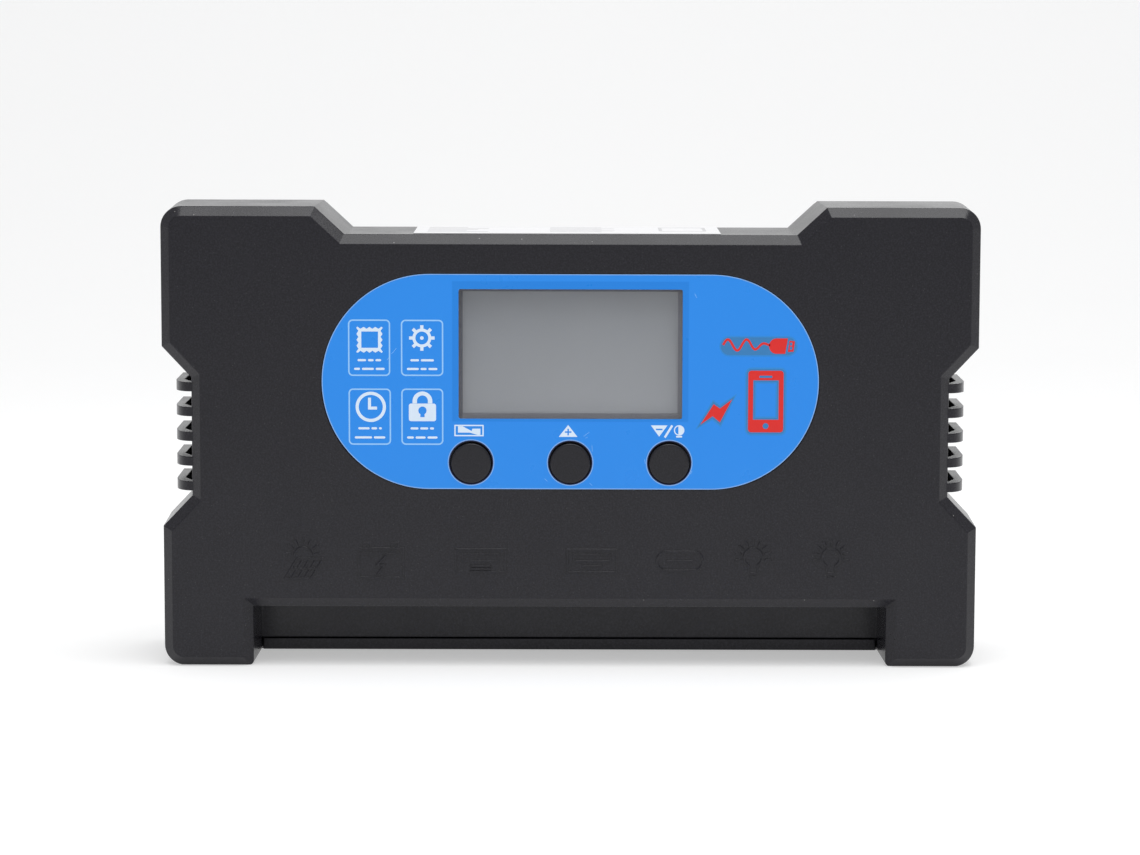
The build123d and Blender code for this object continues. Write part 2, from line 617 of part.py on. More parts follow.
def terminal_screw(x):
    """Clamp screw: it turns against the bar and draws the cage up."""
    tip, head, top = BAR_DEPTH[1] + 0.08, *SCREW_HEAD
    screw = rod(x, POLE_Z, SCREW_R, tip, head + 0.1)
    screw = chamfer(screw.faces().sort_by(Axis.Y)[0].edges(), 0.4)
    screw += rod(x, POLE_Z, SCREW_HEAD_R, head, top)
    cross = Rectangle(4.6, 0.9) + Rectangle(0.9, 4.6)
    return screw - slab(Pos(x, POLE_Z) * cross, top - 1.3, top + 1)


def terminal_cage(x):
    """Rising cage, open towards the wire, with the screw through its rear wall."""
    near, far = CAGE_DEPTH
    cage = block(x - CAGE_HALF, x + CAGE_HALF, near, far, *CAGE_Z)
    half, (low, high) = CAGE_INNER, CAGE_Z
    cage -= block(x - half, x + half, near + 1.0, far - 1.6, low - 1, high + 1)
    return cage - rod(x, POLE_Z, SCREW_R + THREAD_GAP, far - 2, far + 1)


# ---- USB sockets -------------------------------------------------------------------------------
def usb_a_shell(x):
    """Folded steel shell, open downwards, with a flared mouth."""
    width, high, length = USB_A_SIZE
    near = BOARD_BACK
    shell = block(x - width / 2, x + width / 2, near, near + high, SOCKET_MOUTH, SOCKET_MOUTH + length)
    cavity = block(
        x - width / 2 + SHELL_WALL,
        x + width / 2 - SHELL_WALL,
        near + SHELL_WALL,
        near + high - SHELL_WALL,
        SOCKET_MOUTH - 1,
        SOCKET_MOUTH + length - 0.4,
    )
    return shell - cavity


def usb_a_tongue(x):
    """Moulded insulator with its tongue."""
    base = block(x - 6.1, x + 6.1, 10.6, 15.5, 23.6, 27.6)
    return base + block(x - 5.55, x + 5.55, 11.45, 13.25, 14.9, 24.0)


def usb_a_contacts(x):
    """Four spring contacts on the tongue."""
    return [block(x + s - 0.5, x + s + 0.5, 13.25, 13.45, 15.6, 23.6) for s in (-3.5, -1.0, 1.0, 3.5)]


def usb_c_shell():
    """Stadium-shaped steel shell, open downwards."""
    width, high, length = USB_C_SIZE
    middle = FACE_Y + BOARD_BACK + high / 2
    profile = SlotOverall(width, high) - SlotOverall(width - 2 * SHELL_WALL, high - 2 * SHELL_WALL)
    shell = extrude(Pos(USB_C_X, middle, SOCKET_MOUTH) * profile, amount=length)
    cap = extrude(Pos(USB_C_X, middle, SOCKET_MOUTH + length - 0.3) * SlotOverall(width, high), amount=0.3)
    return shell + cap


def usb_c_tongue():
    """Thin tongue on its insulator."""
    middle = BOARD_BACK + USB_C_SIZE[1] / 2
    base = block(USB_C_X - 3.2, USB_C_X + 3.2, middle - 1.1, middle + 1.1, 19.0, 21.1)
    return base + block(USB_C_X - 3.34, USB_C_X + 3.34, middle - 0.35, middle + 0.35, 14.6, 19.2)


# ---- Power parts -------------------------------------------------------------------------------
def transistor_places():
    """x of the power transistors, from left to right."""
    return [(i - (TRANSISTOR_COUNT - 1) / 2) * TRANSISTOR_PITCH for i in range(TRANSISTOR_COUNT)]


def transistor_body(x):
    """Moulded body of a power transistor."""
    half, (front, tab, pad) = TRANSISTOR_HALF, TRANSISTOR_DEPTH
    return block(x - half, x + half, front, tab, TRANSISTOR_Z, TRANSISTOR_Z + 9.2)


def transistor_tab(x):
    """Metal tab with its screw hole."""
    half, (front, tab, pad) = TRANSISTOR_HALF, TRANSISTOR_DEPTH
    sheet = block(x - half, x + half, tab, pad, TRANSISTOR_Z, TRANSISTOR_Z + 15.4)
    return sheet - rod(x, TRANSISTOR_Z + TAB_HOLE[0], TAB_HOLE[1], 20, 23)


def transistor_leads(x):
    """Three leads that run down and bend forwards to the board."""
    leads = []
    foot = TRANSISTOR_Z - 4.5
    for shift in (-LEAD_PITCH, 0, LEAD_PITCH):
        left, right = x + shift - 0.4, x + shift + 0.4
        down = block(left, right, 18.8, 19.3, foot, TRANSISTOR_Z)
        leads.append(down + block(left, right, BOARD_BACK, 19.3, foot, foot + 0.5))
    return leads


def insulating_pad():
    """Silicone sheet between the tabs and the heat sink."""
    pad = block(-56, 56, TRANSISTOR_DEPTH[2], SINK_BASE[0], TRANSISTOR_Z - 1, TRANSISTOR_Z + 16.5)
    return pad - [rod(x, TRANSISTOR_Z + TAB_HOLE[0], TAB_HOLE[1], 21, 23) for x in transistor_places()]


def heat_sink():
    """Aluminium plate with upright fins."""
    sink = block(-SINK_HALF, SINK_HALF, *SINK_BASE, *SINK_Z)
    pitch = (2 * SINK_HALF - FIN_THICK) / (FIN_COUNT - 1)
    for i in range(FIN_COUNT):
        x = -SINK_HALF + i * pitch
        sink += block(x, x + FIN_THICK, SINK_BASE[1] - 0.5, FIN_END, *SINK_Z)
    for x, z in sink_screw_places():
        sink -= rod(x, z, SINK_BORE_R, SINK_BASE[0] - 1, SINK_BASE[1])
        sink -= rod(x, z, 3.4, SINK_BASE[1], FIN_END + 1)
    return sink


def standoff_places():
    """Corners where the heat sink is held off the board."""
    return [(x, z) for x in (-57.0, 57.0) for z in (49.0, 81.0)]


def sink_screw_places():
    """Every screw in the heat sink: one for each transistor and each spacer."""
    return [(x, TRANSISTOR_Z + TAB_HOLE[0]) for x in transistor_places()] + standoff_places()


def standoff(x, z):
    """Hexagonal brass spacer with a bore."""
    hexagon = Pos(x, z) * RegularPolygon(2.9, 6)
    return slab(hexagon, BOARD_BACK, SINK_BASE[0]) - rod(x, z, SINK_BORE_R, 16, 23)


def sink_screws():
    """Identical screws through the heat sink into the tabs and the spacers."""
    return [pan_screw(x, z, *SINK_SCREW) for x, z in sink_screw_places()]


def capacitor(x, z):
    """Upright electrolytic capacitor with its rolled groove and a sunken top."""
    can = rod(x, z, CAPACITOR_R, BOARD_BACK, BOARD_BACK + CAPACITOR_HEIGHT)
    can = fillet(can.faces().sort_by(Axis.Y)[-1].edges(), 0.8)
    groove = rod(x, z, CAPACITOR_R + 1, 12.6, 13.6) - rod(x, z, CAPACITOR_R - 0.5, 12.0, 14.2)
    top = BOARD_BACK + CAPACITOR_HEIGHT
    return can - groove - rod(x, z, CAPACITOR_R - 1.3, top - 0.3, top + 1)


def power_inductor():
    """Square shielded inductor of the USB supply."""
    core = block(-9.0, 3.0, BOARD_BACK, 17.2, 32.0, 44.0)
    core = chamfer(core.edges().filter_by(Axis.Y), 1.6)
    return core


def converter_chip():
    """Step-down converter chip with eight leads."""
    chip = block(10.0, 15.0, 10.4, 11.9, 36.0, 40.0)
    for i in range(4):
        x = 10.6 + i * 1.27
        chip += block(x - 0.2, x + 0.2, BOARD_BACK, 10.7, 35.0, 41.0)
    return chip


def current_shunt():
    """Bridge of thick resistance wire that measures the current."""
    left, right = SHUNT_X
    foot = FACE_Y + BOARD_BACK
    top = foot + SHUNT_RISE
    corners = [(x, y, SHUNT_Z) for x, y in ((left, foot), (left, top), (right, top), (right, foot))]
    path = FilletPolyline(*corners, radius=SHUNT_BEND_R)
    return sweep(Plane(origin=path @ 0, z_dir=path % 0) * Circle(SHUNT_WIRE_R), path=path)


def blade_fuse(x, z):
    """Blade fuse: a flat body on two blades."""
    fuse = block(x - 9.5, x + 9.5, 16.5, 23.5, z - 2.5, z + 2.5)
    fuse = chamfer(fuse.edges().filter_by(Axis.Y), 0.6)
    for shift in (-BLADE_X, BLADE_X):
        fuse += block(x + shift - 2.0, x + shift + 2.0, 11.5, 17.0, z - 0.35, z + 0.35)
    return fuse


def fuse_clip(x, z):
    """Spring clip that grips one blade from both sides."""
    clip = block(x - 2.4, x + 2.4, BOARD_BACK, 16.2, z - 1.5, z + 1.5)
    return clip - block(x - 3, x + 3, BOARD_BACK + 0.8, 17, z - 0.45, z + 0.45)


# ---- Write every node --------------------------------------------------------------------------
def main():
    """Build each piece and write its file."""
    os.makedirs("parts", exist_ok=True)
    save("front_cover", front_cover())
    save("rear_cover", rear_cover())
    save("display_overlay", display_overlay())
    save("rating_label", rating_label())
    save("housing_screws", *[pan_screw(x, z, *HOUSING_SCREW) for x, z in HOUSING_SCREWS])
    save("main_board", main_board())
    save("board_screws", *[pan_screw(x, z, *BOARD_SCREW) for x, z in BOARD_SCREWS])

    save("lcd_bezel", lcd_bezel())
    save("lcd_polariser", lcd_polariser())
    save("lcd_glass", lcd_glass())
    save("lcd_zebra_strips", *lcd_zebra_strips())
    save("lcd_backlight", lcd_backlight())
    buttons = (("menu", -BUTTON_X), ("up", 0), ("down", BUTTON_X))
    for name, x in buttons:
        save(f"button_cap_{name}", button_cap(x))
        save(f"switch_plunger_{name}", switch_plunger(x))
    save("switch_bases", *[switch_base(x) for name, x in buttons])
    save("microcontroller", microcontroller())
    save("timer_crystal", timer_crystal())

    save("terminal_block_source", terminal_block(SOURCE_BLOCK_X))
    save("terminal_block_load", terminal_block(LOAD_BLOCK_X))
    for number, x in enumerate(pole_places(), start=1):
        save(f"terminal_screw_{number}", terminal_screw(x))
        save(f"terminal_cage_{number}", terminal_cage(x))
    save("current_bars", *[current_bar(x) for x in pole_places()])

    for name, x in zip(("left", "right"), USB_A_X):
        save(f"usb_a_shell_{name}", usb_a_shell(x))
    save("usb_a_tongues", *[usb_a_tongue(x) for x in USB_A_X])
    save("usb_a_contacts", *[contact for x in USB_A_X for contact in usb_a_contacts(x)])
    save("usb_c_shell", usb_c_shell())
    save("usb_c_tongue", usb_c_tongue())

    save("transistor_bodies", *[transistor_body(x) for x in transistor_places()])
    save("transistor_tabs", *[transistor_tab(x) for x in transistor_places()])
    save("transistor_leads", *[lead for x in transistor_places() for lead in transistor_leads(x)])
    save("insulating_pad", insulating_pad())
    save("heat_sink", heat_sink())
    save("heat_sink_spacers", *[standoff(x, z) for x, z in standoff_places()])
    save("heat_sink_screws", *sink_screws())
    save("capacitors", *[capacitor(x, z) for x, z in CAPACITOR_PLACES])
    save("power_inductor", power_inductor())
    save("converter_chip", converter_chip())
    save("current_shunt", current_shunt())
    save("blade_fuses", *[blade_fuse(x, z) for x, z in FUSE_PLACES])
    save("fuse_clips", *[fuse_clip(x + shift, z) for x, z in FUSE_PLACES for shift in (-BLADE_X, BLADE_X)])


main()
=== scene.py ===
"""Looks of the charge controller: printed panel film, display, label, moulded plastic and inner parts.

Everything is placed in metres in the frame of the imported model: +Z up, and the front face looks
along -Y. Artwork on the panel is drawn in millimetres and scaled when it is built.
"""
import json
from math import atan2, cos, hypot, pi, radians, sin

import bmesh
import bpy
from mathutils import Matrix, Vector


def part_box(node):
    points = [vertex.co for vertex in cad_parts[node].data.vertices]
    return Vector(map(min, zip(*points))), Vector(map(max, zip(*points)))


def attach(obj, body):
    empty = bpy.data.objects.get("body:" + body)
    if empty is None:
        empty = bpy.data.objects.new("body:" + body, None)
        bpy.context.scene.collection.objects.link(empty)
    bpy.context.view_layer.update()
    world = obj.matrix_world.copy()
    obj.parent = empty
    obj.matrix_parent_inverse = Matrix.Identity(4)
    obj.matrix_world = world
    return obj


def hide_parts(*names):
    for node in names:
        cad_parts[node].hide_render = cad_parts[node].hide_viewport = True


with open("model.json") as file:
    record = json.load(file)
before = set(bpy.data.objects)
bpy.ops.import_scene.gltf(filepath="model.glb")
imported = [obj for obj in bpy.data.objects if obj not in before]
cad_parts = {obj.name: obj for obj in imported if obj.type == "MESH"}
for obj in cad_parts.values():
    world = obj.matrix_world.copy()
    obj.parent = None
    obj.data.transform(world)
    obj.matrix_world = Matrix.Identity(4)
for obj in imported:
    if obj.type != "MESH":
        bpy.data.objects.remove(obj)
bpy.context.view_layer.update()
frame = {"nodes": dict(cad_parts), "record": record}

MM = 0.001
SLOT_OF = {part["node"]: part["material_slot"] for part in frame["record"]["subparts"]}

# ---- Camera ----------------------------------------------------------------------------------
AIM = Vector((-0.00005, -0.0189, 0.05576))  # a point in the middle of the front face
DISTANCE = 0.6515
PITCH, YAW, ROLL = radians(5.573), radians(-0.12), radians(0.155)
LENS, SENSOR = 89.53, 36.0

# ---- Panel film ------------------------------------------------------------------------------
FILM_LOW, FILM_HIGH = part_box("display_overlay")
FILM_FRONT = FILM_LOW.y / MM            # depth of the film's outer face, in millimetres
FILM_BACK = FILM_HIGH.y / MM
FILM_Z = (FILM_LOW.z + FILM_HIGH.z) / 2 / MM
FILM_SIZE = ((FILM_HIGH.x - FILM_LOW.x) / MM, (FILM_HIGH.z - FILM_LOW.z) / MM)
BUTTONS = [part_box(f"button_cap_{name}") for name in ("menu", "up", "down")]
BUTTON_HOLE_R = 5.15
BUTTON_HOLE_Z = 47.6
WINDOW = (-25.65, 25.7, 57.75, 87.5)    # clear window in the print: x from, to, z from, to
CUTOUT = (-27.1, 27.1, 57.1, 89.3)      # opening in the cover behind the film
BEZEL_SHADE = (-24.8, 30.0, 50.0, 86.9)  # the bezel is in the panel's shade outside these limits
EDGE_HIGHLIGHT_WIDTH = 0.22                        # width of the painted highlight along the film's cut edges
HOLE_SHADE_WIDTH = 0.2                         # width of a ring of painted shade inside each button hole, where the gap round the cap is in shade
HOLE_SHADE_SETBACK = 0.02                      # the ring of painted shade lies behind the film's outer face
EDGE_GAP = 0.002                        # keeps pieces of the film from sharing a face
INK_ROOT = 0.01                         # how far ink reaches into the film

# ---- Dust ------------------------------------------------------------------------------------
DUST_CELLS, FINE_DUST_CELLS = 430, 900  # cells in a metre
DUST, FINE_DUST = (0.38, 0.37, 0.36), (0.10, 0.10, 0.10)

# ---- Studio, in metres -----------------------------------------------------------------------
FLOOR_FRONT, FLOOR_BACK, FLOOR_HALF = -2.6, 0.7, 3.0
SWEEP_R = 0.6                           # radius of the curve from the floor to the backdrop
BACKDROP_TOP = 2.4
PAPER_GLOW = 0.42
ROOM_LIGHT = 0.57
SOFTBOX_PLACE, SOFTBOX_SIZE = (0.12, -0.14, 0.95), (0.85, 0.7)
SOFTBOX_RADIANCE = 3.6


# ---- Flat artwork ----------------------------------------------------------------------------
def circle(x, z, radius, count=64):
    """Closed loop around a point."""
    angles = [2 * pi * i / count for i in range(count)]
    return [(x + radius * cos(a), z + radius * sin(a)) for a in angles]


def arc(x, z, radius, first, last, count=12):
    """Points along an arc between two angles in degrees."""
    angles = [radians(first + (last - first) * i / count) for i in range(count + 1)]
    return [(x + radius * cos(a), z + radius * sin(a)) for a in angles]


def rounded(x0, x1, z0, z1, radius, count=8):
    """Closed rectangle with round corners."""
    corners = ((x1, z1, 0), (x0, z1, 90), (x0, z0, 180), (x1, z0, 270))
    loop = []
    for x, z, start in corners:
        inner_x = x - radius if x == x1 else x + radius
        inner_z = z - radius if z == z1 else z + radius
        loop += arc(inner_x, inner_z, radius, start, start + 90, count)
    return loop


def grown(box, margin):
    """Box of x and z limits, moved outwards by a margin."""
    return (box[0] - margin, box[1] + margin, box[2] - margin, box[3] + margin)


def stadium(grow=0.0):
    """Outline of the film, moved outwards."""
    length, height = FILM_SIZE
    half, radius = length / 2 + grow, height / 2 + grow
    return rounded(-half, half, FILM_Z - radius, FILM_Z + radius, radius - 1e-4, 32)


def bar(x0, z0, x1, z1, width):
    """Closed straight stroke with square ends."""
    run = hypot(x1 - x0, z1 - z0)
    side = ((z1 - z0) / run * width / 2, (x0 - x1) / run * width / 2)
    return [
        (x0 + side[0], z0 + side[1]),
        (x1 + side[0], z1 + side[1]),
        (x1 - side[0], z1 - side[1]),
        (x0 - side[0], z0 - side[1]),
    ]


def outset(loop, margin):
    """Closed polygon with every side moved outwards."""
    area = sum(a[0] * b[1] - b[0] * a[1] for a, b in zip(loop, loop[1:] + loop[:1]))
    sign = 1 if area > 0 else -1
    moved = []
    for before, here, after in zip(loop[-1:] + loop[:-1], loop, loop[1:] + loop[:1]):
        into = Vector((here[0] - before[0], here[1] - before[1])).normalized()
        out = Vector((after[0] - here[0], after[1] - here[1])).normalized()
        first = Vector((into.y, -into.x)) * sign
        second = Vector((out.y, -out.x)) * sign
        spread = first + second
        spread *= min(margin * 2 / max(spread.length_squared, 0.2), 2.2 * margin / spread.length)
        moved.append((here[0] + spread.x, here[1] + spread.y))
    return moved


def flat_mesh(name, shapes, front, back):
    """Closed thin solids from shapes of closed loops, of which the inner ones are holes."""
    sheet = bmesh.new()
    for loops in shapes:
        curve = bpy.data.curves.new(name, "CURVE")
        curve.dimensions = "2D"
        curve.fill_mode = "BOTH"
        curve.extrude = (back - front) / 2
        for loop in loops:
            spline = curve.splines.new("POLY")
            spline.points.add(len(loop) - 1)
            for point, (x, z) in zip(spline.points, loop):
                point.co = (x, z, 0, 1)
            spline.use_cyclic_u = True
        outline = bpy.data.objects.new(name, curve)
        part = bpy.data.meshes.new_from_object(outline)
        sheet.from_mesh(part)
        bpy.data.objects.remove(outline)
        bpy.data.curves.remove(curve)
        bpy.data.meshes.remove(part)
    bmesh.ops.remove_doubles(sheet, verts=sheet.verts, dist=1e-4)
    bmesh.ops.recalc_face_normals(sheet, faces=sheet.faces)
    place = Matrix.Translation((0, (front + back) / 2 * MM, 0))
    sheet.transform(place @ Matrix.Rotation(pi / 2, 4, "X") @ Matrix.Scale(MM, 4))
    mesh = bpy.data.meshes.new(name)
    sheet.to_mesh(mesh)
    sheet.free()
    return mesh


def add_piece(name, mesh, finish, body="housing"):
    """Piece that rides on a body and takes its finish from a slot."""
    piece = bpy.data.objects.new(name, mesh)
    bpy.context.scene.collection.objects.link(piece)
    mesh.materials.clear()
    mesh.materials.append(finish)
    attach(piece, body)
    return piece


# ---- Materials -------------------------------------------------------------------------------
class Finish:
    """Node material that is built up from one Principled shader."""

    def __init__(self, name, color, roughness, **sockets):
        self.material = bpy.data.materials.new(name)
        self.material.use_nodes = True
        self.tree = self.material.node_tree
        self.shader = self.tree.nodes["Principled BSDF"]
        self.shader.inputs["Base Color"].default_value = (*color, 1)
        self.shader.inputs["Roughness"].default_value = roughness
        for socket, value in sockets.items():
            self.shader.inputs[socket.replace("_", " ")].default_value = value
        self.place = self.tree.nodes.new("ShaderNodeTexCoord").outputs["Object"]

    def add(self, kind, inputs, **settings):
        """New node with its settings, and its inputs linked or set."""
        node = self.tree.nodes.new(kind)
        for key, value in settings.items():
            setattr(node, key, value)
        for key, value in inputs.items():
            if isinstance(value, bpy.types.NodeSocket):
                self.tree.links.new(value, node.inputs[key])
            else:
                node.inputs[key].default_value = value
        return node

    def noise(self, scale, detail=2.0, stretch=(1, 1, 1)):
        """Noise from 0 to 1, with its scale per metre."""
        place = self.add("ShaderNodeMapping", {"Vector": self.place, "Scale": stretch})
        inputs = {"Vector": place.outputs["Vector"], "Scale": scale, "Detail": detail}
        return self.add("ShaderNodeTexNoise", inputs).outputs["Fac"]

    def span(self, value, low, high, to_low=0.0, to_high=1.0):
        """Value mapped from one range to another, and held at its ends."""
        ranges = {"Value": value, "From Min": low, "From Max": high}
        ranges.update({"To Min": to_low, "To Max": to_high})
        return self.add("ShaderNodeMapRange", ranges).outputs["Result"]

    def math(self, operation, first, second):
        """Result of one sum on two values."""
        return self.add("ShaderNodeMath", {0: first, 1: second}, operation=operation).outputs[0]

    def specks(self, scale, size, share):
        """Sparse round dots: size is their radius in cells, share the cells that have one."""
        inputs = {"Vector": self.place, "Scale": scale}
        cells = self.add("ShaderNodeTexVoronoi", inputs, feature="F1")
        dot = self.span(cells.outputs["Distance"], size, size * 0.5)
        chosen = self.math("LESS_THAN", cells.outputs["Color"], share)
        return self.math("MULTIPLY", dot, chosen)

    def inside(self, limits, soft):
        """1 within x and z limits in metres, with a soft border."""
        axes = self.add("ShaderNodeSeparateXYZ", {"Vector": self.place}).outputs
        x0, x1, z0, z1 = limits
        edges = (
            self.span(axes["X"], x0 - soft, x0 + soft),
            self.span(axes["X"], x1 + soft, x1 - soft),
            self.span(axes["Z"], z0 - soft, z0 + soft),
            self.span(axes["Z"], z1 + soft, z1 - soft),
        )
        mask = edges[0]
        for edge in edges[1:]:
            mask = self.math("MULTIPLY", mask, edge)
        return mask

    def tint(self, factor, color):
        """Another colour over the base colour, by a factor."""
        base = self.shader.inputs["Base Color"]
        under = base.links[0].from_socket if base.links else tuple(base.default_value)
        inputs = {0: factor, 6: under, 7: (*color, 1)}
        mix = self.add("ShaderNodeMix", inputs, data_type="RGBA")
        self.tree.links.new(mix.outputs[2], base)
        return self

    def rough(self, factor, low, high):
        """Roughness that follows a factor between two values."""
        self.tree.links.new(self.span(factor, 0.3, 0.7, low, high), self.shader.inputs["Roughness"])
        return self

    def bump(self, height, depth, strength=1.0):
        """Relief of a given depth in metres, on top of the relief that is there."""
        normal = self.shader.inputs["Normal"]
        inputs = {"Height": height, "Distance": depth, "Strength": strength}
        if normal.links:
            inputs["Normal"] = normal.links[0].from_socket
        node = self.add("ShaderNodeBump", inputs)
        self.tree.links.new(node.outputs["Normal"], normal)
        return self

    def soften(self, radius):
        """Edges that catch the light as if they were rounded."""
        node = self.add("ShaderNodeBevel", {"Radius": radius}, samples=8)
        self.tree.links.new(node.outputs["Normal"], self.shader.inputs["Normal"])
        return self


def moulded(name, color, roughness, grain=2600.0, depth=10e-6, dust=0.0, radius=0.0):
    """Moulded plastic with a spark-eroded grain, gloss that varies, and dust."""
    skin = Finish(name, color, roughness, Specular_IOR_Level=0.32)
    if radius:
        skin.soften(radius)
    fine = skin.noise(grain, 3.0)
    skin.bump(fine, depth).bump(skin.noise(grain / 7, 2.0), depth)
    skin.rough(skin.noise(70, 3.0), roughness - 0.04, roughness + 0.04)
    skin.tint(skin.span(skin.noise(30, 2.0), 0.35, 0.7, 0.0, 0.12), [c * 1.5 for c in color])
    skin.tint(skin.span(fine, 0.40, 0.72, 0.0, 0.75), [c * 2.2 + 0.005 for c in color])
    if dust:
        specks = skin.specks(DUST_CELLS, 0.075, 0.40)
        skin.tint(skin.math("MULTIPLY", specks, dust), DUST)
        fine_specks = skin.specks(FINE_DUST_CELLS, 0.13, 0.42)
        skin.tint(skin.math("MULTIPLY", fine_specks, dust * 0.5), FINE_DUST)
    return skin.material


def metal(name, color, roughness, brush=(1, 1, 1), scale=900.0, stain=0.0):
    """Metal with a drawn or turned grain, and some tarnish."""
    skin = Finish(name, color, roughness, Metallic=1.0)
    lines = skin.noise(scale, 3.0, brush)
    skin.bump(lines, 4e-6).rough(lines, roughness - 0.08, roughness + 0.1)
    tarnish = skin.span(skin.noise(160, 3.0), 0.4, 0.75, 0.0, 0.25 + stain)
    skin.tint(tarnish, [c * 0.55 for c in color])
    return skin.material


def printed(name, color, roughness=0.32, mottle=0.06):
    """Screen-printed ink with slightly uneven cover."""
    ink = Finish(name, color, roughness, Specular_IOR_Level=0.35)
    ink.tint(ink.span(ink.noise(500, 3.0), 0.4, 0.7, 0.0, mottle), [c * 0.6 for c in color])
    ink.bump(ink.noise(3000), 2e-6)
    return ink.material


def film_blue():
    """Blue film: satin, a little darker where nothing backs it, with specks of dust."""
    film = Finish("overlay_blue", (0.018, 0.266, 0.862), 0.30, Specular_IOR_Level=0.35)
    film.tint(film.inside([edge * MM for edge in CUTOUT], 0.15 * MM), (0.010, 0.228, 0.765))
    film.tint(film.span(film.noise(22, 2.0), 0.35, 0.65, 0.0, 0.06), (0.03, 0.33, 0.95))
    film.tint(film.math("MULTIPLY", film.specks(DUST_CELLS, 0.07, 0.36), 0.7), (0.62, 0.74, 0.90))
    film.rough(film.noise(240, 3.0), 0.27, 0.35).bump(film.noise(1500, 2.0), 2.5e-6)
    return film.material


def display_film():
    """Grey polariser, with painted shade that darkens it towards its top left corner."""
    film = Finish("lcd_film", (0.350, 0.367, 0.398), 0.38, Specular_IOR_Level=0.4)
    axes = film.add("ShaderNodeSeparateXYZ", {"Vector": film.place}).outputs
    # painted shade: darker towards the top and towards the left
    film.tint(film.span(axes["Z"], 62 * MM, 88 * MM, 0.0, 0.5), (0.240, 0.260, 0.294))
    film.tint(film.span(axes["X"], 2 * MM, -26 * MM, 0.0, 0.35), (0.230, 0.250, 0.286))
    film.tint(film.span(film.noise(60, 3.0), 0.35, 0.7, 0.0, 0.10), (0.42, 0.43, 0.44))
    film.tint(film.math("MULTIPLY", film.specks(DUST_CELLS, 0.065, 0.33), 0.5), (0.75, 0.76, 0.78))
    film.rough(film.noise(300, 2.0), 0.34, 0.42).bump(film.noise(2600, 2.0), 3e-6)
    return film.material


def display_frame():
    """Frame around the glass: grey, with painted shade where the film stands over it."""
    skin = Finish("lcd_frame", (0.150, 0.156, 0.190), 0.5)
    lit = skin.inside([edge * MM for edge in BEZEL_SHADE], 0.2 * MM)
    # painted shade over the bezel outside the lit limits
    skin.tint(skin.math("SUBTRACT", 1.0, lit), (0.045, 0.052, 0.085))
    fine = skin.noise(2200, 3.0)
    skin.tint(skin.span(fine, 0.4, 0.7, 0.0, 0.2), (0.20, 0.20, 0.23)).bump(fine, 6e-6)
    return skin.material


def clear(name, color, roughness):
    """Clear sheet with faint smears."""
    pane = Finish(name, color, roughness, Transmission_Weight=1.0, IOR=1.46)
    pane.rough(pane.noise(120, 3.0), roughness, roughness + 0.05)
    return pane.material


def circuit_board():
    """Green mask with copper tracks under it and the weave of the glass cloth."""
    board = Finish("board_green", (0.012, 0.105, 0.045), 0.28)
    tracks = board.add("ShaderNodeTexBrick", {"Vector": board.place, "Scale": 160.0})
    board.tint(board.span(tracks.outputs["Fac"], 0.4, 0.6, 0.0, 0.55), (0.03, 0.22, 0.08))
    weave = board.noise(1800, 1.0, (1.0, 1.0, 0.4))
    board.tint(board.span(weave, 0.5, 0.7, 0.0, 0.15), (0.03, 0.16, 0.06))
    board.bump(tracks.outputs["Fac"], 3e-5).bump(weave, 4e-6).rough(weave, 0.24, 0.34)
    return board.material


def label_paper():
    """Coated white paper with a faint tooth."""
    paper = Finish("label_paper", (0.74, 0.74, 0.75), 0.5)
    tooth = paper.noise(1500, 4.0)
    paper.tint(paper.span(tooth, 0.4, 0.7, 0.0, 0.08), (0.72, 0.72, 0.72)).bump(tooth, 5e-6)
    return paper.material


def layered(name, color, other, scale, roughness):
    """Fine layers of two colours across Z."""
    skin = Finish(name, color, roughness)
    axes = skin.add("ShaderNodeSeparateXYZ", {"Vector": skin.place}).outputs
    wave = skin.math("SINE", skin.math("MULTIPLY", axes["Z"], scale), 0.0)
    skin.tint(skin.span(wave, -0.3, 0.3), other).bump(skin.noise(1200), 4e-6)
    return skin.material


